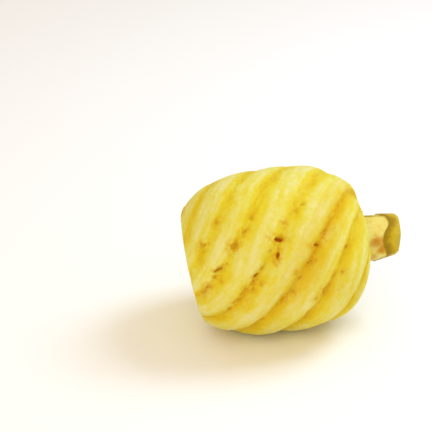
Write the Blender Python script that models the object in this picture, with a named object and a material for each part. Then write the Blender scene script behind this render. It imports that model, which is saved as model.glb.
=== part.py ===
"""A small peeled pineapple lying on its side, for Blender 4.5, in metres with +Z up.

Its skin has been pared off and its eyes cut out along eight spiral grooves, so that eight ridges of
flesh are left. The crown has been cut off flat at -X, and a short stub of the stalk stays on at +X.
"""

import math

import bmesh
import bpy
import numpy as np
from mathutils import Matrix, Vector

# The barrel of flesh, a superellipse turned about the fruit's own axis.
BELLY_RADIUS = 0.0405
CROWN_REACH = 0.0517
STALK_REACH = 0.0427
SQUARENESS = 2.62

# The fruit rests pressed a little flat, with its stalk end slightly raised.
BELLY_CENTRE = (-0.0050, 0.0, 0.0394)
PITCH = math.radians(2.0)
# Its axis bends down a little towards both ends: how far at the crown pole.
ARCH = 0.0015
LUMP = 0.00025
LUMP_SPAN = 0.009

# The spiral grooves. Angles are turns round the fruit, from the front (-Y) up over the top.
GROOVES = 8
GROOVE_PHASE = math.radians(2.5)
GROOVE_TWIST = math.radians(2203.0)
GROOVE_DEPTH = 0.0023
# The grooves run out shallower over the top: the share of the depth that they lose there, and the
# heights between which they lose it, as the sine of the way round.
TOP_EASE = 0.75
EASE_FROM = 0.2
EASE_TO = 0.95
FULL_DEPTH_RADIUS = 0.030
# Each groove strays, in degrees, from an even spacing and, over SLOPE_SPAN, from an even slope, as a
# hand cuts it.
GROOVE_DRIFT = (2.5, 2.8, 4.3, -3.3, 0.0, 0.0, -5.8, -0.9)
GROOVE_SLOPE = (-6.0, -2.3, -1.2, 0.9, 0.0, 0.0, -6.0, 17.4)
SLOPE_SPAN = 0.046

# One groove and ridge in section: the share of the way up to the next groove, and the share of the
# full depth there. The side that faces down from a ridge is the steeper one.
SECTION = (
    (0.00, 1.00),
    (0.04, 0.88),
    (0.12, 0.55),
    (0.20, 0.25),
    (0.29, 0.06),
    (0.40, 0.00),
    (0.52, 0.05),
    (0.66, 0.27),
    (0.80, 0.62),
    (0.92, 0.92),
)
# How much higher or lower each ridge stands at its stalk end than at its crown end.
RIDGE_LIFT = (0.0008, 0.0004, 0.0, 0.0, 0.0, 0.0, 0.0, 0.0)

# The eyes follow the golden angle, so they lie along the grooves, which are scooped deeper there.
EYE_RISE = 0.001138
EYE_STEP = 3
EYE_SCOOP = 0.14

# The stub of the stalk, pared to flat sides, with a band of skin left round its end.
STALK_START = 0.030
STALK_END = 0.0585
STALK_BASE_RADIUS = 0.0136
STALK_TIP_RADIUS = 0.0093
STALK_LIFT = math.radians(3.5)
STALK_DROP = 0.0030
STALK_FLATS = 7
STALK_FLATNESS = 0.6
SKIN_LENGTH = 0.0085
SKIN_THICKNESS = 0.0007
END_CHAMFER = 0.0007
# Its end was cut on a slant, with the upper edge further out.
END_SLANT = 0.17

# The knife cut that took the crown off: where it crosses the axis, and how it leans.
CROWN_CUT = 0.0451
CROWN_CUT_LEAN_Y = 0.150
CROWN_CUT_LEAN_Z = -0.133

MESH_RINGS = 60
STALK_SIDES = 28
STALK_RINGS = 9
BLOCK = 0.2


def clear_scene():
    for thing in list(bpy.data.objects):
        bpy.data.objects.remove(thing, do_unlink=True)


def new_collection(name):
    collection = bpy.data.collections.new(name)
    bpy.context.scene.collection.children.link(collection)
    return collection


def flesh_material():
    material = bpy.data.materials.new("pineapple_flesh")
    material.use_nodes = True
    shader = material.node_tree.nodes["Principled BSDF"]
    shader.inputs["Base Color"].default_value = (0.82, 0.66, 0.12, 1.0)
    shader.inputs["Roughness"].default_value = 0.42
    shader.inputs["Metallic"].default_value = 0.0
    material.diffuse_color = (0.82, 0.66, 0.12, 1.0)
    return material


def barrel_profile(reach):
    """Arc length, distance along the axis and radius of one half of the barrel, belly to pole."""
    swing = np.linspace(0.0, math.pi / 2, 600)
    along = reach * np.sin(swing) ** (2 / SQUARENESS)
    radius = BELLY_RADIUS * np.abs(np.cos(swing)) ** (2 / SQUARENESS)
    steps = np.hypot(np.diff(along), np.diff(radius))
    return np.concatenate([[0.0], np.cumsum(steps)]), along, radius


def barrel_point(share, halves):
    """The barrel at a share of the way to a pole, +1 at the stalk: its arc length, place and slope."""
    half = halves["stalk"] if share > 0 else halves["crown"]
    side = 1.0 if share > 0 else -1.0
    lengths, along, radius = half
    length = abs(share) * lengths[-1]
    x = float(np.interp(length, lengths, along))
    r = float(np.interp(length, lengths, radius))
    reach = along[-1]
    normal = Vector((side * (x / reach) ** (SQUARENESS - 1) / reach,
                     (r / BELLY_RADIUS) ** (SQUARENESS - 1) / BELLY_RADIUS))
    return side * length, side * x, r, normal.normalized()


def groove_angle(groove, length):
    """How far round the fruit the floor of a groove lies, at an arc length from the belly."""
    turns, groove = divmod(groove, GROOVES)
    slope = max(-1.0, min(1.0, length / SLOPE_SPAN))
    stray = math.radians(GROOVE_DRIFT[groove] + GROOVE_SLOPE[groove] * slope)
    spiral = GROOVE_PHASE + GROOVE_TWIST * length
    return math.tau * (turns + groove / GROOVES) + spiral + stray


def scoop(groove, length):
    """1 where a groove was cut round an eye, down to -1 halfway between two eyes."""
    first_eye = EYE_STEP * groove % GROOVES
    return math.cos(math.tau * (length / EYE_RISE - first_eye) / GROOVES)


def top_share(angle):
    """The share of the full depth that a groove keeps, less over the top."""
    ease = (math.sin(angle) - EASE_FROM) / (EASE_TO - EASE_FROM)
    ease = max(0.0, min(1.0, ease))
    return 1 - TOP_EASE * ease * ease * (3 - 2 * ease)


def ridge_height(column, angle, length, radius):
    """How far the surface stands above the barrel, less than nothing in a groove."""
    groove, step = divmod(column, len(SECTION))
    share, depth = SECTION[step]
    nearest = groove + round(share)
    cut = GROOVE_DEPTH * top_share(angle) * depth * (1 + EYE_SCOOP * scoop(nearest, length))
    stalkward = 0.5 + 0.5 * max(-1.0, min(1.0, length / SLOPE_SPAN))
    lift = RIDGE_LIFT[groove] * (1 - depth) * stalkward
    return (lift - cut) * min(1.0, radius / FULL_DEPTH_RADIUS)


def column_angle(column, length):
    groove, step = divmod(column, len(SECTION))
    lower = groove_angle(groove, length)
    upper = groove_angle(groove + 1, length)
    return lower + SECTION[step][0] * (upper - lower)


def lump(angle, radius, length):
    """A slight unevenness of the whole fruit, as a knife leaves it, none at the poles."""
    wave = math.sin(2 * angle + 1.0) + math.sin(3 * angle + length / LUMP_SPAN)
    return LUMP * wave * radius / BELLY_RADIUS


def make_flesh():
    """A sphere whose columns follow the grooves and whose rings are spread along the barrel."""
    halves = {"crown": barrel_profile(CROWN_REACH), "stalk": barrel_profile(STALK_REACH)}
    columns = GROOVES * len(SECTION)
    shape = bmesh.new()
    bmesh.ops.create_uvsphere(shape, u_segments=columns, v_segments=MESH_RINGS, radius=1.0)
    for vertex in shape.verts:
        turn = math.atan2(vertex.co.y, vertex.co.x) / math.tau
        column = round(turn * columns) % columns
        share = math.asin(max(-1.0, min(1.0, vertex.co.z))) / (math.pi / 2)
        length, x, radius, normal = barrel_point(share, halves)
        angle = column_angle(column, length)
        height = ridge_height(column, angle, length, radius) + lump(angle, radius, length)
        radius += normal.y * height
        x += normal.x * height
        bend = ARCH * (x / CROWN_REACH) ** 2
        vertex.co = (x, -radius * math.cos(angle), radius * math.sin(angle) - bend)
    bmesh.ops.recalc_face_normals(shape, faces=shape.faces)
    mesh = bpy.data.meshes.new("peeled_pineapple")
    shape.to_mesh(mesh)
    shape.free()
    mesh.shade_smooth()
    mesh.set_sharp_from_angle(angle=math.radians(38))
    return bpy.data.objects.new("peeled_pineapple", mesh)


def stalk_radius(x, angle):
    """The stalk's radius: a taper, pared to flats, with the skin standing proud round its end."""
    share = (x - STALK_START) / (STALK_END - STALK_START)
    radius = STALK_BASE_RADIUS + share * (STALK_TIP_RADIUS - STALK_BASE_RADIUS)
    half_flat = math.pi / STALK_FLATS
    off_centre = (angle % (2 * half_flat)) - half_flat
    radius *= 1 + STALK_FLATNESS * (math.cos(half_flat) / math.cos(off_centre) - 1)
    if x > STALK_END - SKIN_LENGTH:
        radius += SKIN_THICKNESS
    if x > STALK_END - END_CHAMFER / 2:
        radius -= END_CHAMFER
    return radius


def make_stalk():
    length = STALK_END - STALK_START
    shape = bmesh.new()
    bmesh.ops.create_cone(
        shape,
        cap_ends=True,
        segments=STALK_SIDES,
        radius1=1.0,
        radius2=1.0,
        depth=length,
        matrix=Matrix.Translation((STALK_START + length / 2, 0, 0)) @ Matrix.Rotation(math.pi / 2, 4, "Y"),
    )
    skin_edge = STALK_END - SKIN_LENGTH
    plain = [STALK_START + (skin_edge - STALK_START) * step / STALK_RINGS for step in range(1, STALK_RINGS)]
    rings = plain + [skin_edge, skin_edge + SKIN_THICKNESS, STALK_END - END_CHAMFER]
    for x in rings:
        everything = shape.verts[:] + shape.edges[:] + shape.faces[:]
        bmesh.ops.bisect_plane(shape, geom=everything, plane_co=(x, 0, 0), plane_no=(1, 0, 0))
    for vertex in shape.verts:
        angle = math.atan2(vertex.co.z, vertex.co.y)
        radius = stalk_radius(vertex.co.x, angle)
        share = (vertex.co.x - STALK_START) / length
        vertex.co.y = radius * math.cos(angle)
        vertex.co.z = radius * math.sin(angle)
        vertex.co.x += share * END_SLANT * vertex.co.z
    mesh = bpy.data.meshes.new("stalk_stub")
    shape.to_mesh(mesh)
    shape.free()
    return bpy.data.objects.new("stalk_stub", mesh)


def make_block(name):
    """A cube whose top face lies at its origin."""
    shape = bmesh.new()
    bmesh.ops.create_cube(shape, size=BLOCK, matrix=Matrix.Translation((0, 0, -BLOCK / 2)))
    mesh = bpy.data.meshes.new(name)
    shape.to_mesh(mesh)
    shape.free()
    return bpy.data.objects.new(name, mesh)


def hide_helper(helper):
    helper.hide_render = True
    helper.display_type = "WIRE"


def add_boolean(target, helper, operation):
    modifier = target.modifiers.new(helper.name, "BOOLEAN")
    modifier.operation = operation
    modifier.solver = "EXACT"
    modifier.object = helper
    hide_helper(helper)


def build():
    clear_scene()
    parts = new_collection("peeled_pineapple")
    helpers = new_collection("knives_and_helpers")

    fruit_axis = bpy.data.objects.new("fruit_axis", None)
    fruit_axis.location = BELLY_CENTRE
    fruit_axis.rotation_euler.y = -PITCH
    parts.objects.link(fruit_axis)

    flesh = make_flesh()
    flesh.data.materials.append(flesh_material())
    flesh.parent = fruit_axis
    parts.objects.link(flesh)

    stalk = make_stalk()
    stalk.parent = fruit_axis
    stalk.location.z = -STALK_DROP
    stalk.rotation_euler.y = -STALK_LIFT
    helpers.objects.link(stalk)

    crown_knife = make_block("crown_knife")
    crown_knife.parent = fruit_axis
    crown_knife.location.x = -CROWN_CUT
    outward = Vector((-1.0, CROWN_CUT_LEAN_Y, CROWN_CUT_LEAN_Z))
    crown_knife.rotation_euler = (-outward).to_track_quat("Z", "Y").to_euler()
    helpers.objects.link(crown_knife)

    table = make_block("table")
    helpers.objects.link(table)

    add_boolean(flesh, stalk, "UNION")
    add_boolean(flesh, crown_knife, "DIFFERENCE")
    add_boolean(flesh, table, "DIFFERENCE")
    bpy.context.view_layer.update()


build()
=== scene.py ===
"""The looks of a small peeled pineapple that lies on its side, for Blender 4.5, in metres, +Z up.

The flesh is grown by Geometry Nodes from the fruit's own sizes: a barrel with eight spiral grooves,
flat where the crown was cut off and where it rests. The stalk stub, the remains of the eyes and the
grains of flesh round them are pieces of their own.
"""

import math
import random
from functools import partial

import bmesh
import bpy
from mathutils import Matrix, Vector
from mathutils.bvhtree import BVHTree


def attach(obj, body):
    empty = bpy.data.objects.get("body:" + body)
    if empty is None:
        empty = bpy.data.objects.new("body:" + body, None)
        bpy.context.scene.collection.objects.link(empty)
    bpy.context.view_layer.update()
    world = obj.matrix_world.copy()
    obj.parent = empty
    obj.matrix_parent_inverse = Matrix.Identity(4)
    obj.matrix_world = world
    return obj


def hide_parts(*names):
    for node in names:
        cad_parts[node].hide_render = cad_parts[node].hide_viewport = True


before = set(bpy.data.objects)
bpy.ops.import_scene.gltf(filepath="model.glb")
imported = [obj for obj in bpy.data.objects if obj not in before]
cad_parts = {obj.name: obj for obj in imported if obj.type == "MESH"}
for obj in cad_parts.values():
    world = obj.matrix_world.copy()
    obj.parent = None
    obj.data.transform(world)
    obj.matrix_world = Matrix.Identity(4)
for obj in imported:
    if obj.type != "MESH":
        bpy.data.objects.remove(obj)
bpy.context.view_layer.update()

MM = 0.001

# The barrel of flesh. It lies with its stalk end tipped up a little.
BELLY_RADIUS = 0.0405
CROWN_REACH = 0.0517
STALK_REACH = 0.0427
SQUARENESS = 2.62
BELLY_CENTRE = Vector((-0.0050, 0.0, 0.0394))
PITCH = math.radians(2.0)
ARCH = 0.0015
LUMP = 0.00025
LUMP_SPAN = 0.009
PROFILE_POINTS = 801
FLOOR_ROUNDING = 0.0002

# The spiral grooves: their even run, and how each strays from it, in degrees.
GROOVES = 8
GROOVE_PHASE = math.radians(2.5)
GROOVE_TWIST = math.radians(2203.0)
GROOVE_DRIFT = (2.5, 2.8, 4.3, -3.3, 0.0, 0.0, -5.8, -0.9)
GROOVE_SLOPE = (-6.0, -2.3, -1.2, 0.9, 0.0, 0.0, -6.0, 17.4)
SLOPE_SPAN = 0.046
GROOVE_DEPTH = 0.0023
FULL_DEPTH_RADIUS = 0.030
# How much shallower the grooves are over the top, between these sines of the turn round the fruit.
TOP_EASE = 0.75
TOP_EASE_FROM = 0.2
TOP_EASE_TO = 0.95
# How much shallower the grooves get as they run out at the crown cut, and where along the flesh.
CROWN_EASE = 0.6
CROWN_EASE_FROM = -0.033
CROWN_EASE_TO = -0.048
# How far the crest of each ridge stands up, most of all near the stalk.
RIDGE_LIFT = (0.0013, 0.0006, 0.0, 0.0, 0.0, 0.0, 0.0, 0.0)
# How far each ridge stands up along its lower edge near the stalk.
RIDGE_SHOULDER = (0.0016, 0.0, 0.0, 0.0, 0.0, 0.0, 0.0, 0.0)
# How much riper than the rest each ridge is near the stalk.
RIDGE_RIPENESS = (0.0, 0.0, -0.05, 0.0, 0.1, 0.0, 0.1, 0.3)
# How brown the juice has dried along the floor of each groove, and how much painted crease shade it gets.
GROOVE_BROWNING_AND_SHADE = (1.1, 0.1, 0.0, 0.0, 0.1, 0.3, 0.3, 0.3)
# Share of the way to the next groove, and share of the full depth there.
SECTION = (
    (0.00, 1.00),
    (0.04, 0.88),
    (0.12, 0.55),
    (0.20, 0.25),
    (0.29, 0.06),
    (0.40, 0.00),
    (0.52, 0.05),
    (0.66, 0.27),
    (0.80, 0.62),
    (0.92, 0.92),
    (1.00, 1.00),
)
# How much the knife's strokes waver, as a share of the way to the next groove, and over what length.
STROKE_WAVER = 0.16
STROKE_LENGTH = 0.009
# How strongly the tube's columns crowd at the groove floors. A small shift keeps a column on a floor
# from being rounded into the groove before.
CROWDING = 0.55
COLUMN_SHIFT = 0.0005

# The eyes follow the golden angle, so each groove runs through a row of them. They are numbered from
# the belly, less than 0 toward the crown, and keep clear of the marked ones.
EYE_RISE = 0.001138
EYE_STEP = 3
EYE_SCOOP = 0.14
EYE_NUMBERS = range(-62, 60)
EYE_CLEARANCE = 0.0065
# How finely the flesh's points are sorted by their place between two grooves.
STATION_STEPS = 12

# The knife cut that took the crown off.
CROWN_CUT = 0.0445
CROWN_CUT_LEAN_Y = 0.150
CROWN_CUT_LEAN_Z = -0.198
RIM_ROUNDING = 0.0022
CORE_RADIUS = 0.010

FLESH_SIZES = {
    "Belly Radius": BELLY_RADIUS,
    "Crown Reach": CROWN_REACH,
    "Stalk Reach": STALK_REACH,
    "Squareness": SQUARENESS,
    "Groove Depth": GROOVE_DEPTH,
    "Groove Twist": GROOVE_TWIST,
    "Crown Cut": CROWN_CUT,
    "Rim Rounding": RIM_ROUNDING,
    "Columns": 400,
    "Rings": 230,
}

# How many grains of flesh there are, how ragged they and the scraps are, and how near the table the
# lowest eye or grain may lie.
GRAINS = 600
RAGGEDNESS = 0.00025
LOWEST_PLACE = 0.0015

# The stub of the stalk.
STALK_START = 0.030
STALK_END = 0.0580
STALK_BASE_RADIUS = 0.0139
STALK_TIP_RADIUS = 0.0097
STALK_LIFT = math.radians(3.5)
STALK_DROP = 0.0022
STALK_FLATS = 7
STALK_FLATNESS = 0.6
SKIN_THICKNESS = 0.0007
END_ROUNDING = 0.0006
END_SLANT = 0.17
# How much rind is left at the stalk's end: turn in degrees from the front, and length in millimetres.
RIND_EDGE = (
    (-180, 7.4),
    (-125, 6.2),
    (-75, 4.4),
    (-35, 6.2),
    (0, 8.4),
    (25, 9.2),
    (60, 5.6),
    (85, 6.2),
    (110, 8.2),
    (145, 9.0),
    (180, 7.4),
)
# Strips of rind that the knife left: turn in degrees, width in millimetres, and where each starts.
RIND_STRIPS = ((96.0, 1.3, 0.036), (-62.0, 1.6, 0.046), (205.0, 1.8, 0.041))
# Stains on the stalk: place along it, turn in degrees, size, and strength.
STALK_STAINS = (
    (0.0460, 15.0, 0.0056, 0.85),
    (0.0494, -5.0, 0.0050, 0.9),
    (0.0440, -30.0, 0.0052, 0.6),
    (0.0420, 150.0, 0.0040, 0.7),
    (0.0460, 232.0, 0.0045, 0.8),
)

# The camera stands before the fruit's crown half and looks down on it.
IMAGE_SIDE = 432
SENSOR = 36.0
LENS = 128.1
CAMERA_AZIMUTH = math.radians(-12.73)
CAMERA_ELEVATION = math.radians(27.0)
CAMERA_DISTANCE = 0.750
BELLY_PIXEL = (280.6, 248.0)

# Marks of the eyes in the photograph: place in pixels, length and width in millimetres, the turn of
# the long side in degrees up from the right, how deep in millimetres, and how dark from 0 to 1.
EYE_MARKS = (
    (279.0, 239.4, 5.0, 2.3, -10, 1.0, 1.00),
    (277.6, 255.5, 4.5, 2.0, 82, 1.0, 0.95),
    (315.6, 244.8, 4.0, 1.8, -5, 0.6, 0.80),
    (310.0, 261.6, 2.8, 1.8, 25, 0.5, 0.58),
    (255.8, 275.4, 3.8, 1.7, 40, 0.6, 0.80),
    (218.5, 269.9, 6.4, 1.5, 30, 0.6, 0.80),
    (208.5, 286.5, 3.0, 2.0, 20, 0.5, 0.42),
    (324.4, 290.0, 4.2, 2.6, 70, 0.6, 0.55),
    (316.5, 298.0, 2.6, 1.6, 50, 0.4, 0.40),
    (345.8, 246.4, 2.4, 1.2, 10, 0.4, 0.45),
    (342.0, 271.2, 2.6, 1.4, 0, 0.4, 0.32),
    (291.7, 291.3, 2.0, 2.6, 80, 0.4, 0.35),
    (233.8, 245.8, 3.6, 2.8, 60, 0.6, 0.50),
    (202.5, 246.0, 3.8, 2.4, 20, 0.5, 0.38),
    (216.6, 222.5, 2.8, 2.0, 60, 0.4, 0.30),
    (244.4, 231.6, 3.2, 1.8, 50, 0.5, 0.40),
    (250.6, 217.5, 2.2, 1.6, 50, 0.4, 0.28),
    (284.0, 222.8, 2.2, 1.8, 70, 0.4, 0.36),
    (269.8, 250.8, 1.2, 0.9, 20, 0.3, 0.45),
    (262.2, 267.6, 2.0, 1.2, 60, 0.4, 0.42),
    (325.0, 231.0, 3.4, 1.6, 50, 0.5, 0.44),
    (301.8, 204.6, 1.8, 1.2, 30, 0.3, 0.36),
    (295.4, 211.0, 1.8, 1.4, 60, 0.3, 0.26),
    (245.6, 289.8, 3.0, 2.2, 50, 0.5, 0.34),
    (239.0, 299.5, 3.0, 2.0, 50, 0.5, 0.30),
    (214.4, 277.2, 1.8, 1.2, 40, 0.3, 0.55),
    (221.1, 282.2, 1.2, 1.0, 20, 0.2, 0.45),
    (204.6, 292.4, 3.0, 1.6, 50, 0.3, 0.42),
    (253.3, 281.7, 2.0, 1.6, 60, 0.3, 0.50),
    (252.8, 289.4, 1.4, 1.8, 60, 0.3, 0.55),
    (261.7, 283.3, 1.2, 1.8, 80, 0.2, 0.40),
    (241.7, 293.9, 2.2, 1.2, 45, 0.3, 0.52),
    (235.6, 301.2, 2.4, 1.4, 45, 0.3, 0.50),
    (228.3, 309.0, 1.8, 1.0, 50, 0.2, 0.45),
    (296.7, 271.7, 2.2, 1.3, 60, 0.3, 0.48),
    (300.0, 278.0, 1.6, 1.2, 60, 0.2, 0.42),
    (282.0, 299.0, 3.8, 1.8, 50, 0.3, 0.42),
    (332.8, 276.1, 2.8, 1.4, 65, 0.3, 0.42),
    (307.2, 312.2, 2.4, 1.2, 60, 0.2, 0.36),
)

RANDOM = random.Random(7)

# The kinds of node that the trees use most.
MATH = "ShaderNodeMath"
VECTOR_MATH = "ShaderNodeVectorMath"
MAP_RANGE = "ShaderNodeMapRange"
MIX = "ShaderNodeMix"
NOISE = "ShaderNodeTexNoise"


def linear_colour(text):
    """An sRGB hex colour as the linear values that a shader takes."""
    channels = []
    for place in (0, 2, 4):
        value = int(text[place:place + 2], 16) / 255
        channels.append(value / 12.92 if value <= 0.04045 else ((value + 0.055) / 1.055) ** 2.4)
    return (*channels, 1.0)


def fill(tree, node, links, named):
    """Fills a node's sockets, in order and by name, each with a value, a node or another socket."""
    sockets = [socket for socket in node.inputs if socket.enabled]
    pairs = [*zip(sockets, links), *((node.inputs[name], link) for name, link in named.items())]
    for socket, link in pairs:
        if isinstance(link, bpy.types.Node):
            link = next(output for output in link.outputs if output.enabled)
        if isinstance(link, bpy.types.NodeSocket):
            tree.links.new(link, socket)
        elif link is not None:
            socket.default_value = link


def add_node(tree, kind, *links, named=None, **settings):
    """Adds a node with its settings and links."""
    node = tree.nodes.new(kind)
    for name, value in settings.items():
        setattr(node, name, value)
    fill(tree, node, links, named or {})
    return node


def new_tree(name, inputs):
    """A geometry tree with named inputs: the tree, what adds its nodes, and the inputs' sockets."""
    tree = bpy.data.node_groups.new(name, "GeometryNodeTree")
    for label, kind in inputs.items():
        tree.interface.new_socket(name=label, in_out="INPUT", socket_type="NodeSocket" + kind)
    tree.interface.new_socket(name="Mesh", in_out="OUTPUT", socket_type="NodeSocketGeometry")
    add = partial(add_node, tree)
    return tree, add, add("NodeGroupInput").outputs


def new_object(name, data):
    """An object in the scene."""
    made = bpy.data.objects.new(name, data)
    bpy.context.scene.collection.objects.link(made)
    return made


def grow(name, tree, values):
    """Runs a geometry tree with these input values and keeps its result as a plain mesh."""
    host = new_object(name + "_host", bpy.data.meshes.new(name + "_seed"))
    modifier = host.modifiers.new("grow", "NODES")
    modifier.node_group = tree
    for item in tree.interface.items_tree:
        if item.in_out == "INPUT" and item.name in values:
            modifier[item.identifier] = values[item.name]
    graph = bpy.context.evaluated_depsgraph_get()
    result = bpy.data.meshes.new_from_object(host.evaluated_get(graph), depsgraph=graph)
    bpy.data.objects.remove(host, do_unlink=True)
    result.name = name
    return new_object(name, result)


def fruit_place():
    """Where the fruit lies: its own axes start at the belly's centre, with X along it to the stalk."""
    return Matrix.Translation(BELLY_CENTRE) @ Matrix.Rotation(-PITCH, 4, "Y")


def barrel_curve(add, sizes):
    """The barrel's profile, crown pole to stalk pole, along X with its radius along Y."""
    line = add("GeometryNodeCurvePrimitiveLine")
    fine = add("GeometryNodeResampleCurve", line, named={"Count": PROFILE_POINTS})
    along = add("GeometryNodeSplineParameter").outputs["Factor"]
    swing = add(MATH, along, math.pi, -math.pi / 2, operation="MULTIPLY_ADD")
    sine = add(MATH, swing, operation="SINE")
    cosine = add(MATH, swing, operation="COSINE")
    cosine = add(MATH, cosine, 0.0, operation="MAXIMUM")
    power = add(MATH, 2.0, sizes["Squareness"], operation="DIVIDE")
    stalk_half = add(MATH, sine, 0.0, operation="GREATER_THAN")
    reach = add(MIX, stalk_half, sizes["Crown Reach"], sizes["Stalk Reach"])
    sign = add(MATH, sine, operation="SIGN")
    size = add(MATH, sine, operation="ABSOLUTE")
    size = add(MATH, size, power, operation="POWER")
    size = add(MATH, size, reach, operation="MULTIPLY")
    x = add(MATH, size, sign, operation="MULTIPLY")
    radius = add(MATH, cosine, power, operation="POWER")
    radius = add(MATH, radius, sizes["Belly Radius"], operation="MULTIPLY")
    place = add("ShaderNodeCombineXYZ", x, radius, 0.0)
    return add("GeometryNodeSetPosition", fine, named={"Position": place})


def groove_values(add, groove, *tables):
    """What each table says of one groove, whose number may run past either end of the table."""
    number = add(MATH, groove, GROOVES, operation="FLOORED_MODULO")
    number = add("FunctionNodeFloatToInt", number, rounding_mode="ROUND")
    found = []
    for table in tables:
        switch = add("GeometryNodeIndexSwitch", number, data_type="FLOAT")
        while len(switch.index_switch_items) < GROOVES:
            switch.index_switch_items.new()
        for place, value in enumerate(table):
            switch.inputs[place + 1].default_value = value
        found.append(switch)
    return found


def groove_stray(add, groove, slope_share):
    """How far one groove lies from its even run, in radians."""
    drifts = [math.radians(value) for value in GROOVE_DRIFT]
    slopes = [math.radians(value) for value in GROOVE_SLOPE]
    drift, slope = groove_values(add, groove, drifts, slopes)
    return add(MATH, slope, slope_share, drift, operation="MULTIPLY_ADD")


def groove_section(add, groove, across, length):
    """How deep in a groove a point lies, from 0 to 1. The grooves widen and narrow from cut to cut."""
    along = add(MATH, length, 1 / STROKE_LENGTH, operation="MULTIPLY")
    apart = add(MATH, groove, 5.3, operation="MULTIPLY")
    strokes = add("ShaderNodeCombineXYZ", along, apart)
    waver = add(NOISE, strokes, noise_dimensions="2D", named={"Scale": 1.0, "Detail": 1.0})
    waver = add(MATH, waver, 0.5, operation="SUBTRACT")
    middle = add(MATH, across, math.pi, operation="MULTIPLY")
    middle = add(MATH, middle, operation="SINE")
    waver = add(MATH, waver, middle, operation="MULTIPLY")
    section_place = add(MATH, waver, STROKE_WAVER, across, operation="MULTIPLY_ADD")
    dip = add("ShaderNodeFloatCurve", 1.0, section_place)
    curve = dip.mapping.curves[0]
    for point in SECTION[1:-1]:
        curve.points.new(*point)
    for point, share_and_depth in zip(curve.points, SECTION):
        point.location = share_and_depth
    dip.mapping.update()
    return dip


def eye_pits(add, eyes, position):
    """An oval round each eye, with its long side along the eye's own direction.

    It gives how deep the pit is, how burnt, and the patch of riper flesh about it.
    """
    index = add("GeometryNodeSampleNearest", eyes, position, domain="POINT")
    readings = {}
    for label, kind in (("along", "FLOAT_VECTOR"), ("long", "FLOAT"), ("wide", "FLOAT"),
                        ("deep", "FLOAT"), ("dark", "FLOAT")):
        source = add("GeometryNodeInputNamedAttribute", label, data_type=kind)
        readings[label] = add("GeometryNodeSampleIndex", eyes, source, index, data_type=kind)
    eye_place = add("GeometryNodeSampleIndex", eyes, position, index, data_type="FLOAT_VECTOR")
    offset = add(VECTOR_MATH, position, eye_place, operation="SUBTRACT")
    lengthwise = add(VECTOR_MATH, offset, readings["along"], operation="DOT_PRODUCT")
    on_line = add(VECTOR_MATH, readings["along"], lengthwise, operation="SCALE")
    sideways = add(VECTOR_MATH, offset, on_line, operation="SUBTRACT")
    sideways = add(VECTOR_MATH, sideways, operation="LENGTH")
    squares = []
    for reach, size in ((lengthwise, readings["long"]), (sideways, readings["wide"])):
        share = add(MATH, reach, size, operation="DIVIDE")
        squares.append(add(MATH, share, 2.0, operation="POWER"))
    away = add(MATH, *squares, operation="ADD")
    away = add(MATH, away, operation="SQRT")
    ragged = add(NOISE, position, named={"Scale": 1 / (1.3 * MM), "Detail": 2.0})
    ragged = add(MATH, ragged, 0.5, operation="SUBTRACT")
    away = add(MATH, ragged, 0.8, away, operation="MULTIPLY_ADD")
    pit = add(MAP_RANGE, away, 1.25, 0.55, 0.0, 1.0, interpolation_type="SMOOTHSTEP")
    sink = add(MATH, pit, readings["deep"], operation="MULTIPLY")
    burn = add(MAP_RANGE, pit, 0.25, 0.75, 0.0, readings["dark"])
    patch = add(MAP_RANGE, away, 3.6, 1.0, 0.0, 1.0, interpolation_type="SMOOTHSTEP")
    riper = add(MATH, readings["dark"], 2.2, operation="MULTIPLY", use_clamp=True)
    patch = add(MATH, patch, riper, operation="MULTIPLY")
    return sink, burn, patch


def cut_crown(add, shape, position, sizes):
    """The crown cut: nothing stands beyond a leaning plane, and the rim is a little rounded."""
    x, y, z = add("ShaderNodeSeparateXYZ", position).outputs
    plane = add(MATH, y, CROWN_CUT_LEAN_Y, operation="MULTIPLY")
    plane = add(MATH, z, CROWN_CUT_LEAN_Z, plane, operation="MULTIPLY_ADD")
    plane = add(MATH, plane, sizes["Crown Cut"], operation="SUBTRACT")
    beyond = add(MATH, plane, x, operation="SUBTRACT")
    crown_face = add(MAP_RANGE, beyond, -0.6 * MM, 0.9 * MM, 0.0, 1.0)
    disc = add("ShaderNodeCombineXYZ", y, z, 0.0)
    from_axis = add(VECTOR_MATH, disc, operation="LENGTH")
    spoke_turn = add(VECTOR_MATH, disc, operation="NORMALIZE")
    outward = add("ShaderNodeCombineXYZ", 0.0, 0.0, from_axis)
    outward = add(VECTOR_MATH, outward, 1 / (25 * MM), operation="SCALE")
    disc_place = add(VECTOR_MATH, spoke_turn, outward, operation="ADD")
    for label, value, kind in (("crown_face", crown_face, "FLOAT"), ("from_axis", from_axis, "FLOAT"),
                               ("disc_place", disc_place, "FLOAT_VECTOR")):
        shape = add("GeometryNodeStoreNamedAttribute", shape, None, label, value, data_type=kind)
    cut_x = add(MATH, x, plane, sizes["Rim Rounding"], operation="SMOOTH_MAX")
    cut_place = add("ShaderNodeCombineXYZ", cut_x, y, z)
    return add("GeometryNodeSetPosition", shape, named={"Position": cut_place})


def set_down(add, shape, position):
    """The fruit tipped with its stalk end up, moved to its place, and pressed flat on the table."""
    tipped = add("ShaderNodeVectorRotate", position, rotation_type="Y_AXIS", named={"Angle": -PITCH})
    moved = add(VECTOR_MATH, tipped, tuple(BELLY_CENTRE), operation="ADD")
    x, y, z = add("ShaderNodeSeparateXYZ", moved).outputs
    z = add(MATH, z, 0.0, FLOOR_ROUNDING, operation="SMOOTH_MAX")
    return add("GeometryNodeSetPosition", shape, named={"Position": add("ShaderNodeCombineXYZ", x, y, z)})


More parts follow.
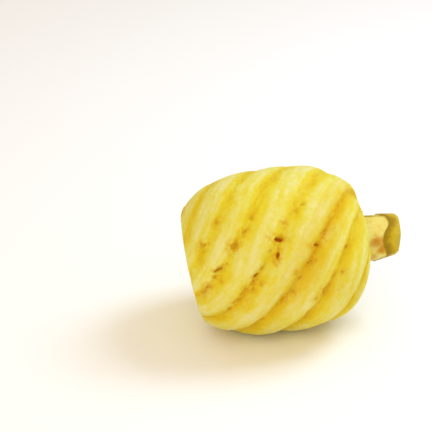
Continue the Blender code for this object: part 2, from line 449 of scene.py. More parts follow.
def flesh_tree():
    """A tube of columns that follow the grooves, laid on the barrel, cut, pitted and set down."""
    kinds = {label: "Int" if isinstance(size, int) else "Float" for label, size in FLESH_SIZES.items()}
    tree, add, sizes = new_tree("spiral_pared_flesh", {**kinds, "Eyes": "Object", "Flesh": "Material"})
    profile = barrel_curve(add, sizes)
    point_length = add("GeometryNodeSplineParameter").outputs["Length"]
    crown_length = add("GeometryNodeSampleIndex", profile, point_length, PROFILE_POINTS // 2)
    whole_length = add("GeometryNodeCurveLength", profile)
    stalk_length = add(MATH, whole_length, crown_length, operation="SUBTRACT")

    tube = add("GeometryNodeMeshCylinder", fill_type="TRIANGLE_FAN", named={
        "Vertices": sizes["Columns"], "Side Segments": sizes["Rings"], "Radius": 1.0, "Depth": 2.0})
    start = add("ShaderNodeSeparateXYZ", add("GeometryNodeInputPosition")).outputs
    flat_x = add(MATH, start["X"], 2.0, operation="POWER")
    flat_y = add(MATH, start["Y"], 2.0, operation="POWER")
    spoke = add(MATH, flat_x, flat_y, operation="ADD")
    # Only the two middle points of the caps, with no spoke, reach the poles.
    shy = add(MATH, spoke, sizes["Rings"], operation="DIVIDE")
    shy = add(MATH, 1.0, shy, operation="SUBTRACT")
    share = add(MATH, start["Z"], shy, operation="MULTIPLY")
    stalkward = add(MATH, share, 0.0, operation="GREATER_THAN")
    half_length = add(MIX, stalkward, crown_length, stalk_length)
    length = add(MATH, share, half_length, operation="MULTIPLY")

    reading = add(MATH, length, crown_length, operation="ADD")
    on_barrel = add("GeometryNodeSampleCurve", mode="LENGTH",
                    named={"Curves": profile, "Length": reading, "Curve Index": 0})
    barrel = add("ShaderNodeSeparateXYZ", on_barrel.outputs["Position"]).outputs
    tangent = add("ShaderNodeSeparateXYZ", on_barrel.outputs["Tangent"]).outputs
    radius = barrel["Y"]

    # Which groove a column lies over, and how far on to the next; columns crowd at the groove floors.
    turn = add(MATH, start["Y"], start["X"], operation="ARCTAN2")
    turn = add(MATH, turn, GROOVES / math.tau, GROOVES + COLUMN_SHIFT, operation="MULTIPLY_ADD")
    groove = add(MATH, turn, operation="FLOOR")
    even = add(MATH, turn, operation="FRACT")
    crowd = add(MATH, even, math.tau, operation="MULTIPLY")
    crowd = add(MATH, crowd, operation="SINE")
    across = add(MATH, crowd, -CROWDING / math.tau, even, operation="MULTIPLY_ADD")
    following = add(MATH, groove, 1.0, operation="ADD")
    station = add(MATH, groove, across, operation="ADD")
    slope_share = add(MATH, length, SLOPE_SPAN, operation="DIVIDE")
    slope_share = add("ShaderNodeClamp", slope_share, -1.0, 1.0)
    lower = groove_stray(add, groove, slope_share)
    upper = groove_stray(add, following, slope_share)
    stray = add(MIX, across, lower, upper)
    angle = add(MATH, station, math.tau / GROOVES, stray, operation="MULTIPLY_ADD")
    angle = add(MATH, angle, GROOVE_PHASE, operation="ADD")
    angle = add(MATH, length, sizes["Groove Twist"], angle, operation="MULTIPLY_ADD")
    cosine = add(MATH, angle, operation="COSINE")
    sine = add(MATH, angle, operation="SINE")

    # How deep the knife went: scooped at each eye, and less over the top and at the crown cut.
    dip = groove_section(add, groove, across, length)
    nearest = add(MATH, across, operation="ROUND")
    nearest = add(MATH, groove, nearest, operation="ADD")
    phase = add(MATH, nearest, -EYE_STEP * math.tau / GROOVES, operation="MULTIPLY")
    phase = add(MATH, length, math.tau / (GROOVES * EYE_RISE), phase, operation="MULTIPLY_ADD")
    scoop = add(MATH, phase, operation="COSINE")
    scoop = add(MATH, scoop, EYE_SCOOP, 1.0, operation="MULTIPLY_ADD")
    kept_on_top = add(MAP_RANGE, sine, TOP_EASE_FROM, TOP_EASE_TO, 1.0, 1.0 - TOP_EASE,
                      interpolation_type="SMOOTHSTEP")
    kept_at_crown = add(MAP_RANGE, length, CROWN_EASE_FROM, CROWN_EASE_TO, 1.0, 1.0 - CROWN_EASE,
                        interpolation_type="SMOOTHSTEP")
    cut = dip
    for part in (scoop, sizes["Groove Depth"], kept_on_top, kept_at_crown):
        cut = add(MATH, cut, part, operation="MULTIPLY")

    # How far the ridge stands up, over its crest and along its lower edge.
    lift, ripeness, shoulder = groove_values(add, groove, RIDGE_LIFT, RIDGE_RIPENESS, RIDGE_SHOULDER)
    stalkward_share = add(MATH, slope_share, 0.5, 0.5, operation="MULTIPLY_ADD")
    near_stalk = add(MATH, stalkward_share, 3.0, operation="POWER")
    ripeness = add(MATH, ripeness, near_stalk, operation="MULTIPLY")
    crest = add(MATH, 1.0, dip, operation="SUBTRACT")
    rise = add(MAP_RANGE, across, 0.03, 0.13, 0.0, 1.0, interpolation_type="SMOOTHSTEP")
    fall = add(MAP_RANGE, across, 0.08, 0.6, 1.0, 0.0, interpolation_type="SMOOTHSTEP")
    for part in (stalkward_share, crest):
        lift = add(MATH, lift, part, operation="MULTIPLY")
    for part in (near_stalk, rise):
        shoulder = add(MATH, shoulder, part, operation="MULTIPLY")
    lift = add(MATH, shoulder, fall, lift, operation="MULTIPLY_ADD")
    height = add(MATH, lift, cut, operation="SUBTRACT")
    taper = add(MATH, radius, FULL_DEPTH_RADIUS, operation="DIVIDE")
    taper = add(MATH, taper, 1.0, operation="MINIMUM")
    height = add(MATH, height, taper, operation="MULTIPLY")

    # The fruit is a little lumpy.
    wave = add(MATH, angle, 2.0, 1.0, operation="MULTIPLY_ADD")
    wave = add(MATH, wave, operation="SINE")
    ripple = add(MATH, length, 1 / LUMP_SPAN, operation="MULTIPLY")
    ripple = add(MATH, angle, 3.0, ripple, operation="MULTIPLY_ADD")
    ripple = add(MATH, ripple, operation="SINE")
    lump = add(MATH, wave, ripple, operation="ADD")
    lump = add(MATH, lump, radius, operation="MULTIPLY")
    height = add(MATH, lump, LUMP / BELLY_RADIUS, height, operation="MULTIPLY_ADD")

    # Out along the barrel's normal, then round the axis, which sags a little at both ends.
    back = add(MATH, tangent["Y"], -1.0, operation="MULTIPLY")
    x = add(MATH, back, height, barrel["X"], operation="MULTIPLY_ADD")
    out = add(MATH, tangent["X"], height, radius, operation="MULTIPLY_ADD")
    y = add(MATH, out, cosine, operation="MULTIPLY")
    y = add(MATH, y, -1.0, operation="MULTIPLY")
    bend = add(MATH, x, sizes["Crown Reach"], operation="DIVIDE")
    bend = add(MATH, bend, 2.0, operation="POWER")
    z = add(MATH, out, sine, operation="MULTIPLY")
    z = add(MATH, bend, -ARCH, z, operation="MULTIPLY_ADD")
    place = add("ShaderNodeCombineXYZ", x, y, z)

    # What the material needs to know of each point, kept before the tube is bent. The groove floors are
    # painted darker and browner on the underside, as painted shade there.
    pale_across = add(MATH, station, 5.0, operation="MULTIPLY")
    pale_along = add(MATH, length, 1 / (8 * MM), operation="MULTIPLY")
    pale = add("ShaderNodeCombineXYZ", pale_along, pale_across)
    pale = add(NOISE, pale, noise_dimensions="2D", named={"Scale": 1.0, "Detail": 1.0})
    [own_browning_and_shade] = groove_values(add, nearest, GROOVE_BROWNING_AND_SHADE)
    # Painted shade: the grooves are browned more the further down they face.
    under = add(MAP_RANGE, sine, 0.35, -0.15, 0.0, 0.8, interpolation_type="SMOOTHSTEP")
    browning = add(MATH, own_browning_and_shade, under, operation="MAXIMUM")
    to_line = add(MATH, across, 0.5, operation="SUBTRACT")
    to_line = add(MATH, to_line, operation="ABSOLUTE")
    to_line = add(MATH, 0.5, to_line, operation="SUBTRACT")
    # Laying the tube along X mirrors it, so its faces are turned to point out again.
    shape = add("GeometryNodeFlipFaces", tube.outputs["Mesh"])
    for label, value in (("dip", dip), ("to_line", to_line), ("station", station), ("length", length),
                         ("pale", pale), ("ripeness", ripeness), ("browning", browning)):
        shape = add("GeometryNodeStoreNamedAttribute", shape, None, label, value)
    shape = add("GeometryNodeSetPosition", shape, named={"Position": place})

    # Rough flesh in the grooves, smoother on the ridges where one long stroke pared it, and the eyes' pits.
    position = add("GeometryNodeInputPosition")
    kept_dip = add("GeometryNodeInputNamedAttribute", "dip", data_type="FLOAT")
    grain = add(NOISE, position, named={"Scale": 1 / (2.2 * MM), "Detail": 2.0})
    grain = add(MATH, grain, 0.5, operation="SUBTRACT")
    rough = add(MATH, kept_dip, 0.0010, 0.00035, operation="MULTIPLY_ADD")
    bump = add(MATH, grain, rough, operation="MULTIPLY")
    eyes = add("GeometryNodeObjectInfo", sizes["Eyes"]).outputs["Geometry"]
    sink, burn, patch = eye_pits(add, eyes, position)
    bump = add(MATH, bump, sink, operation="SUBTRACT")
    for label, value in (("burn", burn), ("patch", patch)):
        shape = add("GeometryNodeStoreNamedAttribute", shape, None, label, value)
    push = add(VECTOR_MATH, add("GeometryNodeInputNormal"), bump, operation="SCALE")
    shape = add("GeometryNodeSetPosition", shape, named={"Offset": push})

    shape = cut_crown(add, shape, position, sizes)
    shape = set_down(add, shape, position)
    shape = add("GeometryNodeSetShadeSmooth", shape)
    shape = add("GeometryNodeRealizeInstances", shape)
    shape = add("GeometryNodeSetMaterial", shape, named={"Material": sizes["Flesh"]})
    add("NodeGroupOutput", shape)
    return tree


def points_object(name, places, values):
    """An object of loose points that carry named values, for a geometry tree to read."""
    mesh = bpy.data.meshes.new(name)
    mesh.from_pydata(places, [], [])
    for label, column in values.items():
        vectors = isinstance(column[0], Vector)
        kind, field = ("FLOAT_VECTOR", "vector") if vectors else ("FLOAT", "value")
        attribute = mesh.attributes.new(label, kind, "POINT")
        flat = [part for value in column for part in value] if vectors else column
        attribute.data.foreach_set(field, flat)
    return new_object(name, mesh)


def point_values(mesh, *labels):
    """What a mesh's points carry under each name."""
    return [[point.value for point in mesh.attributes[label].data] for label in labels]


def add_camera():
    """The photograph's view, with the fruit's belly at its own pixel."""
    azimuth, elevation = CAMERA_AZIMUTH, CAMERA_ELEVATION
    level = math.cos(elevation)
    back = Vector((math.sin(azimuth) * level, -math.cos(azimuth) * level, math.sin(elevation)))
    right = Vector((math.cos(azimuth), math.sin(azimuth), 0.0))
    up = back.cross(right)
    pixel = SENSOR / LENS / IMAGE_SIDE * CAMERA_DISTANCE
    centre = IMAGE_SIDE / 2
    aim = BELLY_CENTRE - right * (BELLY_PIXEL[0] - centre) * pixel + up * (BELLY_PIXEL[1] - centre) * pixel
    data = bpy.data.cameras.new("photo_camera")
    data.lens = LENS
    data.sensor_width = SENSOR
    camera = new_object("photo_camera", data)
    camera.location = BELLY_CENTRE + back * CAMERA_DISTANCE
    camera.rotation_euler = (aim - camera.location).to_track_quat("-Z", "Y").to_euler()
    bpy.context.scene.camera = camera
    bpy.context.view_layer.update()
    return camera


def surface_of(piece):
    """A search tree of a piece's own surface."""
    mesh = piece.data
    corners = [vertex.co.copy() for vertex in mesh.vertices]
    return BVHTree.FromPolygons(corners, [tuple(face.vertices) for face in mesh.polygons])


def seen_at(pixel_x, pixel_y, surface, camera):
    """Where the camera's ray through a pixel meets a surface: the place and the normal there."""
    side = SENSOR / LENS / IMAGE_SIDE
    centre = IMAGE_SIDE / 2
    ray = Vector(((pixel_x - centre) * side, (centre - pixel_y) * side, -1.0))
    ray = camera.matrix_world.to_3x3() @ ray
    place, normal, _, _ = surface.ray_cast(camera.location, ray.normalized())
    return place, normal


def marked_eyes(surface, camera):
    """The eyes that the photograph shows, laid on the flesh."""
    eyes = []
    for x, y, long, wide, turn, deep, dark in EYE_MARKS:
        place, normal = seen_at(x, y, surface, camera)
        tip, _ = seen_at(x + math.cos(math.radians(turn)), y - math.sin(math.radians(turn)), surface, camera)
        along = (tip - place).normalized()
        eyes.append((place, normal, along, long * MM / 2, wide * MM / 2, deep * MM, dark))
    return eyes


def grown_eyes(flesh, marked, camera):
    """The other eyes, where the golden angle puts them along the grooves."""
    mesh = flesh.data
    rows = {}
    row_count = STATION_STEPS * GROOVES
    for index, (station, length) in enumerate(zip(*point_values(mesh, "station", "length"))):
        rows.setdefault(round(station * STATION_STEPS) % row_count, []).append((length, index))
    for row in rows.values():
        row.sort()
    eyes = []
    for eye in EYE_NUMBERS:
        length = eye * EYE_RISE + RANDOM.uniform(-1.0, 1.0) * MM
        station = (EYE_STEP * eye) % GROOVES - RANDOM.uniform(0.02, 0.14)
        dark = RANDOM.uniform(0.15, 0.75)
        long = RANDOM.uniform(1.0, 2.0) * MM
        wide = RANDOM.uniform(0.5, 0.9) * long
        row = rows[round(station * STATION_STEPS) % row_count]
        here = min(row, key=lambda entry: abs(entry[0] - length))[1]
        ahead = min(row, key=lambda entry: abs(entry[0] - length - 2 * MM))[1]
        place, normal = mesh.vertices[here].co.copy(), mesh.vertices[here].normal.copy()
        if min((place - other[0]).length for other in marked) < EYE_CLEARANCE:
            continue
        if place.z < LOWEST_PLACE or here == ahead:
            continue
        # In the photograph the flesh between its marks is clean, so eyes that face the camera are faint.
        toward = (camera.location - place).normalized().dot(normal)
        if toward > -0.1:
            dark *= 0.15
        along = (mesh.vertices[ahead].co - place).normalized()
        eyes.append((place, normal, along, long, wide, dark * 1.2 * MM, dark))
    return eyes


def eye_object(eyes):
    """The eyes for the flesh tree, which pits the fruit before it is tipped and set down."""
    upright = fruit_place().inverted()
    columns = list(zip(*eyes))
    return points_object("eye_places", [upright @ place for place in columns[0]], {
        "along": [upright.to_3x3() @ along for along in columns[2]],
        **dict(zip(("long", "wide", "deep", "dark"), columns[3:])),
    })


def scatter_tree():
    """Small rough lumps of flesh or scab set on points, each with its own turn and size."""
    tree, add, sizes = new_tree("scattered_bits", {
        "Points": "Object",
        "Detail": "Int",
        "Raggedness": "Float",
        "Finish": "Material",
    })
    places = add("GeometryNodeObjectInfo", sizes["Points"]).outputs["Geometry"]
    lump = add("GeometryNodeMeshIcoSphere", 1.0, sizes["Detail"])
    up, along, size = [add("GeometryNodeInputNamedAttribute", label, data_type="FLOAT_VECTOR")
                       for label in ("up", "along", "size")]
    turn = add("FunctionNodeAxesToRotation", up, along, primary_axis="Z", secondary_axis="X")
    bits = add("GeometryNodeInstanceOnPoints", places, named={
        "Instance": lump.outputs["Mesh"], "Rotation": turn, "Scale": size})
    bits = add("GeometryNodeRealizeInstances", bits)
    position = add("GeometryNodeInputPosition")
    ragged = add(NOISE, position, named={"Scale": 1 / (0.7 * MM), "Detail": 1.0})
    shift = add(VECTOR_MATH, ragged.outputs["Color"], (0.5, 0.5, 0.5), operation="SUBTRACT")
    shift = add(VECTOR_MATH, shift, sizes["Raggedness"], operation="SCALE")
    bits = add("GeometryNodeSetPosition", bits, named={"Offset": shift})
    bits = add("GeometryNodeSetShadeSmooth", bits)
    bits = add("GeometryNodeSetMaterial", bits, named={"Material": sizes["Finish"]})
    add("NodeGroupOutput", bits)
    return tree


def scatter(name, tree, bits, detail, finish):
    """A piece of many small bits, each given as its place, up, along, size and tone."""
    columns = list(zip(*bits))
    values = dict(zip(("up", "along", "size", "tone"), columns[1:]))
    points = points_object(name + "_places", columns[0], values)
    piece = grow(name, tree, {
        "Points": points, "Detail": detail, "Raggedness": RAGGEDNESS, "Finish": finish})
    bpy.data.objects.remove(points, do_unlink=True)
    return piece


def eye_scraps(eyes, surface):
    """The dried shreds that are left in the darker eyes: one in the pit and a few specks about it."""
    bits = []
    for place, normal, along, long, wide, _, dark in eyes:
        if dark < 0.6:
            continue
        across = normal.cross(along).normalized()
        for bit in range(1 + round(2 * dark)):
            reach = RANDOM.uniform(-0.9, 0.9) if bit else 0.0
            stray = RANDOM.uniform(-0.9, 0.9) if bit else 0.0
            guess = place + along * long * reach + across * wide * stray
            spot, outward, _, _ = surface.find_nearest(guess)
            size = RANDOM.uniform(0.12, 0.24) if bit else 0.92 * dark
            shape = Vector((size * long, size * wide, 0.2 * MM))
            turned = (along + across * RANDOM.uniform(-0.5, 0.5)).normalized()
            bits.append((spot - outward * 0.1 * MM, outward, turned, shape, dark))
    return bits


def flesh_grains(flesh):
    """Raised grains of flesh, thick about the eyes and sparse along the grooves."""
    mesh = flesh.data
    patch, dip, crown, browning = point_values(mesh, "patch", "dip", "crown_face", "browning")
    bits = []
    while len(bits) < GRAINS:
        index = RANDOM.randrange(len(mesh.vertices))
        vertex = mesh.vertices[index]
        rough = (0.75 * patch[index] + 0.10) * (0.1 + browning[index])
        chance = rough * dip[index] ** 1.5 * (1 - crown[index])
        if RANDOM.random() > chance or dip[index] < 0.35 or vertex.co.z < LOWEST_PLACE:
            continue
        size = RANDOM.uniform(0.28, 0.62) * MM
        along = vertex.normal.orthogonal().normalized()
        shape = Vector((size * RANDOM.uniform(1.0, 1.5), size, size * 0.5))
        place = vertex.co - vertex.normal * 0.2 * size
        bits.append((place, vertex.normal.copy(), along, shape, RANDOM.random()))
    return bits


def rind_reach(x, angle):
    """How many millimetres in from the edge of the rind a point of the stalk lies; under 0 is pared."""
    turn = math.degrees(math.remainder(angle, math.tau))
    for (before, first), (after, second) in zip(RIND_EDGE, RIND_EDGE[1:]):
        if before <= turn <= after:
            share = 0.5 - 0.5 * math.cos(math.pi * (turn - before) / (after - before))
            length = first + share * (second - first)
    reach = (x - STALK_END) / MM + length + 0.2 * math.sin(9 * angle)
    for turn, width, start in RIND_STRIPS:
        off = abs(math.remainder(angle - math.radians(turn), math.tau)) * STALK_BASE_RADIUS / MM
        off += 0.25 * math.sin(x / (1.3 * MM) + turn)
        reach = max(reach, min(width / 2 - off, (x - start) / MM))
    return reach


def stain(x, angle):
    """How stained a point of the stalk is, from 0 to 1."""
    most = 0.0
    for place, turn, size, strength in STALK_STAINS:
        round_way = math.remainder(angle - math.radians(turn), math.tau) * STALK_BASE_RADIUS
        off = math.hypot(x - place, round_way) / size
        most = max(most, strength * max(0.0, 1 - off * off))
    return most


def make_stalk(finish):
    """A pared stub, rolled up from a grid: up its side, round the edge and in over the cut end."""
    around, lengthwise, inward = 224, 112, 24
    half_flat = math.pi / STALK_FLATS
    shape = bmesh.new()
    bmesh.ops.create_grid(shape, x_segments=around, y_segments=lengthwise + inward, size=0.5)
    rind_layer, stain_layer, end_layer = [
        shape.verts.layers.float.new(label) for label in ("rind", "stain", "end_face")]
    for vertex in shape.verts:
        angle = (vertex.co.x + 0.5) * math.tau
        step = (vertex.co.y + 0.5) * (lengthwise + inward)
        up_side = min(1.0, step / lengthwise)
        x = STALK_START + up_side * (STALK_END - STALK_START)
        radius = STALK_BASE_RADIUS + up_side * (STALK_TIP_RADIUS - STALK_BASE_RADIUS)
        off_centre = (math.pi - angle) % (2 * half_flat) - half_flat
        radius *= 1 + STALK_FLATNESS * (math.cos(half_flat) / math.cos(off_centre) - 1)
        reach = rind_reach(x, angle)
        step_up = max(0.0, min(1.0, reach / 0.5 + 0.5))
        radius += SKIN_THICKNESS * step_up * step_up * (3 - 2 * step_up)
        edge = max(0.0, 1 - (STALK_END - x) / END_ROUNDING)
        radius -= END_ROUNDING * (1 - math.sqrt(max(0.0, 1 - edge * edge)))
        over_end = max(0.0, (step - lengthwise) / inward)
        radius *= 1 - over_end
        # The first ring closes the end that is hidden in the flesh.
        if step < 0.5:
            radius = 0.0
        vertex[rind_layer] = max(-4.0, min(8.0, reach))
        vertex[stain_layer] = stain(x, angle)
        vertex[end_layer] = min(1.0, over_end * 8)
        slant = END_SLANT * up_side * radius * math.sin(angle)
        vertex.co = (x + slant, -radius * math.cos(angle), radius * math.sin(angle))
    bmesh.ops.remove_doubles(shape, verts=shape.verts, dist=0.01 * MM)
    bmesh.ops.recalc_face_normals(shape, faces=shape.faces)
    tilt = Matrix.Rotation(-STALK_LIFT, 4, "Y")
    drop = Matrix.Translation((0, 0, -STALK_DROP))
    bmesh.ops.transform(shape, matrix=fruit_place() @ drop @ tilt, verts=shape.verts)
    mesh = bpy.data.meshes.new("stalk_stub")
    shape.to_mesh(mesh)
    shape.free()
    mesh.shade_smooth()
    mesh.materials.append(finish)
    return new_object("stalk_stub", mesh)


def fill_ramp(node, stops):
    """Sets where each stop of a colour ramp lies, and its colour."""
    elements = node.color_ramp.elements
    while len(elements) < len(stops):
        elements.new(0.5)
    for element, (position, colour) in zip(elements, stops):
        element.position = position
        element.color = linear_colour(colour)


def new_material(name):
    """A material, what adds its nodes, and the place on the piece."""
    material = bpy.data.materials.new(name)
    material.use_nodes = True
    add = partial(add_node, material.node_tree)
    return material, add, add("ShaderNodeTexCoord").outputs["Object"]


def shade(material, looks):
    """Fills the sockets of the material's own shader, by name."""
    tree = material.node_tree
    fill(tree, tree.nodes["Principled BSDF"], (), looks)
    return material


# What all wet flesh has: how strongly it bends and mirrors light, and how far each colour gets in it.
WET_FLESH = {"IOR": 1.38, "Specular IOR Level": 0.22, "Subsurface Radius": (1.0, 0.62, 0.14)}


def flesh_material():
    """Ripe pineapple flesh, pared with a knife: pale where the rind lay, deep yellow in the grooves.

    It is wet and lets light in, so it glows a little and its sheen is broken up by fibres.
    """
    material, add, place = new_material("pared_pineapple_flesh")
    labels = ("dip", "to_line", "pale", "ripeness", "browning", "patch", "burn", "crown_face", "from_axis")
    dip, to_line, pale, ripeness, browning, patch, burn, crown_face, from_axis = [
        add("ShaderNodeAttribute", attribute_name=label).outputs["Fac"] for label in labels]
    disc_place = add("ShaderNodeAttribute", attribute_name="disc_place").outputs["Vector"]

    # Broad drifts of ripeness, and mottling the width of a fruitlet's cells, about 2 mm.
    drift = add(NOISE, place, named={"Scale": 1 / (13 * MM), "Detail": 2.0})
    mottle = add(NOISE, place, named={"Scale": 1 / (2.2 * MM), "Detail": 3.0})
    drift, mottle, pale = [
        add(MATH, pattern, 0.5, operation="SUBTRACT") for pattern in (drift, mottle, pale)]
    golden = add(MATH, drift, 1.6, 0.62, operation="MULTIPLY_ADD")
    ripe = add(MATH, dip, golden, 0.16, operation="MULTIPLY_ADD")
    for pattern, share in ((drift, 0.4), (mottle, 0.5), (pale, -0.8)):
        ripe = add(MATH, pattern, share, ripe, operation="MULTIPLY_ADD")
    ripe = add(MATH, ripe, ripeness, operation="ADD")
    colour = add("ShaderNodeValToRGB", ripe)
    fill_ramp(colour, ((0.0, "E3DE8E"), (0.16, "E0DA72"), (0.32, "DED656"),
                       (0.5, "DECF38"), (0.75, "DDCB24"), (1.0, "D9BE16")))

    # The groove floors turn a deep warm yellow where the juice ran down and stood; on the underside that
    # warm yellow is painted shade.
    warm_juice_and_shade = add(MATH, dip, 0.25, 0.13, operation="MULTIPLY_ADD")
    warm_juice_and_shade = add(MATH, warm_juice_and_shade, browning, operation="MULTIPLY", use_clamp=True)

    # Orange, rougher flesh about the eyes, in blotches.
    orange = add(MATH, mottle, 2.6, 0.45, operation="MULTIPLY_ADD")
    orange = add(MATH, orange, patch, operation="MULTIPLY", use_clamp=True)

    # Painted crease shade along the foot of each ridge, with some juice dried brown there, broken where the
    # knife left it clean.
    line = add(MAP_RANGE, to_line, 0.11, 0.0, 0.0, 1.0, interpolation_type="SMOOTHSTEP")
    broken = add(NOISE, place, named={"Scale": 1 / (5 * MM), "Detail": 3.0})
    broken = add(MAP_RANGE, broken, 0.40, 0.62, 0.15, 0.8)
    line = add(MATH, line, broken, operation="MULTIPLY")
    line = add(MATH, line, browning, operation="MULTIPLY")
    for share, tint in ((warm_juice_and_shade, "D09C14"), (orange, "CE9A0A"), (line, "D29A00")):
        colour = add(MIX, share, colour, linear_colour(tint), data_type="RGBA")

    # The eye's remains: golden brown where only its root was cut through, red-brown where it went deep.
    deep_burn = add(MATH, burn, 3.0, operation="POWER")
    burnt = add(MIX, deep_burn, linear_colour("C08C00"), linear_colour("AC5400"), data_type="RGBA")
    colour = add(MIX, burn, colour, burnt, data_type="RGBA")

    # The cut crown end: spokes of fibre, and a paler, woodier core.
    spokes = add(NOISE, disc_place, named={"Scale": 9.0, "Detail": 4.0})
    spokes = add(MATH, spokes, 0.5, operation="SUBTRACT")
    core = add(MATH, mottle, 2.5 * MM, from_axis, operation="MULTIPLY_ADD")
    core = add(MAP_RANGE, core, CORE_RADIUS - 0.8 * MM, CORE_RADIUS + 0.8 * MM, 0.0, 1.0)
    cut_tone = add(MATH, core, 0.45, 0.2, operation="MULTIPLY_ADD")
    cut_tone = add(MATH, spokes, 1.3, cut_tone, operation="MULTIPLY_ADD")
    cut_colour = add(MIX, cut_tone, linear_colour("E8E498"), linear_colour("DDD040"), data_type="RGBA")
    colour = add(MIX, crown_face, colour, cut_colour, data_type="RGBA")

    # The sheen is wettest on the clean flesh, and dull where it has dried.
    shine = add(MAP_RANGE, mottle, -0.3, 0.3, 0.36, 0.56)
    shine = add(MATH, shine, warm_juice_and_shade, operation="ADD")
    shine = add(MATH, burn, 0.5, shine, operation="MULTIPLY_ADD", use_clamp=True)
    fibre = add(NOISE, place, named={"Scale": 1 / (0.9 * MM), "Detail": 3.0})
    relief = add(MATH, mottle, 1.2, fibre, operation="MULTIPLY_ADD")
    ribs = add(MATH, spokes, crown_face, operation="MULTIPLY")
    relief = add(MATH, ribs, 1.5, relief, operation="MULTIPLY_ADD")
    bump = add("ShaderNodeBump", named={"Strength": 0.5, "Distance": 0.35 * MM, "Height": relief})
    return shade(material, {
        "Base Color": colour,
        "Roughness": shine,
        "Normal": bump,
        "Subsurface Weight": 0.35,
        "Subsurface Scale": 3 * MM,
        **WET_FLESH,
    })


def scrap_material():
    """Dried bract and floret left in an eye: thin, papery, red-brown, with no shine."""
    material, add, place = new_material("dried_eye_bract")
    tone = add("ShaderNodeAttribute", attribute_name="tone").outputs["Fac"]
    tone = add(MATH, tone, 3.0, operation="POWER")
    fibre = add(NOISE, place, named={"Scale": 1 / (0.4 * MM), "Detail": 2.0})
    return shade(material, {
        "Base Color": add(MIX, tone, linear_colour("BA8600"), linear_colour("A04A00"), data_type="RGBA"),
        "Roughness": 0.8,
        "Specular IOR Level": 0.05,
        "Normal": add("ShaderNodeBump", named={"Strength": 0.4, "Distance": 0.1 * MM, "Height": fibre}),
    })


def grain_material():
    """Burst juice cells: small wet grains, from pale to deep yellow."""
    material, add, _ = new_material("burst_juice_cells")
    tone = add("ShaderNodeAttribute", attribute_name="tone").outputs["Fac"]
    return shade(material, {
        "Base Color": add(MIX, tone, linear_colour("E2C440"), linear_colour("D69C08"), data_type="RGBA"),
        "Roughness": 0.45,
        "Subsurface Weight": 0.15,
        "Subsurface Scale": 0.3 * MM,
        **WET_FLESH,
    })


def stalk_material():
    """A fruit stalk: olive rind round its end, and the pale stringy flesh that paring laid bare."""
    material, add, place = new_material("pared_pineapple_stalk")
    rind, stained, end_face = [
        add("ShaderNodeAttribute", attribute_name=label).outputs["Fac"]
        for label in ("rind", "stain", "end_face")]

    # Strings along the stalk, about 0.8 mm apart, and blotches of 3 mm.
    long_grain = add("ShaderNodeMapping", place, named={"Scale": (0.15, 1.0, 1.0)})
    strings = add(NOISE, long_grain, named={"Scale": 1 / (0.8 * MM), "Detail": 2.0})
    blotch = add(NOISE, place, named={"Scale": 1 / (3 * MM), "Detail": 3.0})
    strings, blotch = [
        add(MATH, pattern, 0.5, operation="SUBTRACT") for pattern in (strings, blotch)]

    flesh_tone = add(MATH, blotch, 2.2, 0.4, operation="MULTIPLY_ADD")
    flesh_tone = add(MATH, strings, 0.6, flesh_tone, operation="MULTIPLY_ADD")
    colour = add(MIX, flesh_tone, linear_colour("E4DC84"), linear_colour("DCC44A"), data_type="RGBA")
    stained = add(MATH, blotch, 0.9, stained, operation="MULTIPLY_ADD")
    stained = add(MAP_RANGE, stained, 0.0, 1.0, 0.0, 0.95, interpolation_type="SMOOTHSTEP")
    colour = add(MIX, stained, colour, linear_colour("C48800"), data_type="RGBA")

    # The rind is dark along its cut edge and paler further in.
    reach = add(MATH, blotch, 7.0, rind, operation="MULTIPLY_ADD")
    reach = add(MATH, reach, 0.125, 0.125, operation="MULTIPLY_ADD")
    rinds = add("ShaderNodeValToRGB", reach)
    fill_ramp(rinds, ((0.0, "A88C10"), (0.14, "927400"), (0.42, "A28600"),
                      (0.62, "BCA010"), (0.85, "CCB224"), (1.0, "C2B038")))
    covered = add(MAP_RANGE, rind, -0.15, 0.25, 0.0, 1.0)
    colour = add(MIX, covered, colour, rinds, data_type="RGBA")
    cut_end = add(MIX, flesh_tone, linear_colour("DCCB82"), linear_colour("B89C48"), data_type="RGBA")
    colour = add(MIX, end_face, colour, cut_end, data_type="RGBA")

    relief = add(MATH, blotch, 0.8, strings, operation="MULTIPLY_ADD")
    bump = add("ShaderNodeBump", named={"Strength": 0.6, "Distance": 0.35 * MM, "Height": relief})
    return shade(material, {
        "Base Color": colour,
        "Roughness": 0.55,
        "Normal": bump,
        "IOR": 1.4,
        "Specular IOR Level": 0.2,
        "Subsurface Weight": 0.2,
        "Subsurface Radius": (1.0, 0.7, 0.2),
        "Subsurface Scale": 2 * MM,
    })


def floor_material():
    """Matt white board."""
    material, _, _ = new_material("matt_white_board")
    return shade(material, {"Base Color": linear_colour("F9FCFF"), "Roughness": 0.9})


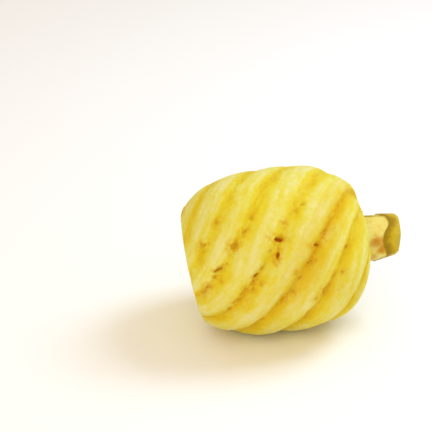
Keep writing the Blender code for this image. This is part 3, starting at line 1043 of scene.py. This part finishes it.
def add_floor():
    """The plain board that the fruit lies on."""
    shape = bmesh.new()
    bmesh.ops.create_grid(shape, x_segments=1, y_segments=1, size=4.0)
    mesh = bpy.data.meshes.new("floor")
    shape.to_mesh(mesh)
    shape.free()
    mesh.materials.append(floor_material())
    floor = new_object("floor", mesh)


def add_light(name, place, size, power, colour):
    """A square soft light that faces the fruit."""
    data = bpy.data.lights.new(name, "AREA")
    data.size = size
    data.energy = power
    data.color = linear_colour(colour)[:3]
    light = new_object(name, data)
    light.location = place
    light.rotation_euler = (BELLY_CENTRE - Vector(place)).to_track_quat("-Z", "Y").to_euler()


def light_scene():
    """A bright room with two soft lights, one above and behind, one in front."""
    world = bpy.data.worlds.new("white_room")
    bpy.context.scene.world = world
    world.use_nodes = True
    background = world.node_tree.nodes["Background"]
    background.inputs["Color"].default_value = linear_colour("FFEED8")
    background.inputs["Strength"].default_value = 0.74
    add_light("softbox_above", (0.50, 0.13, 0.68), 0.4, 4.3, "CEE4FF")
    add_light("softbox_front", (-0.34, -0.68, 0.60), 0.6, 2.75, "FFEACA")
    bpy.context.scene.view_settings.view_transform = "Standard"


def build():
    """The whole scene. The fruit is grown once with no eyes, to find where they lie, and once with them."""
    light_scene()
    add_floor()
    camera = add_camera()
    finish = flesh_material()

    tree = flesh_tree()
    no_eyes = points_object("no_eyes", [], {})
    bare = grow("bare_flesh", tree, {**FLESH_SIZES, "Eyes": no_eyes, "Flesh": finish})
    marked = marked_eyes(surface_of(bare), camera)
    eyes = marked + grown_eyes(bare, marked, camera)
    eye_places = eye_object(eyes)
    flesh = grow("pared_flesh", tree, {**FLESH_SIZES, "Eyes": eye_places, "Flesh": finish})
    for helper in (no_eyes, bare, eye_places):
        bpy.data.objects.remove(helper, do_unlink=True)

    bits = scatter_tree()
    scraps = scatter("eye_scraps", bits, eye_scraps(eyes, surface_of(flesh)), 2, scrap_material())
    grains = scatter("flesh_grains", bits, flesh_grains(flesh), 1, grain_material())
    stalk = make_stalk(stalk_material())

    for piece in (flesh, scraps, grains, stalk):
        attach(piece, "root")
        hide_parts("peeled_pineapple")


build()
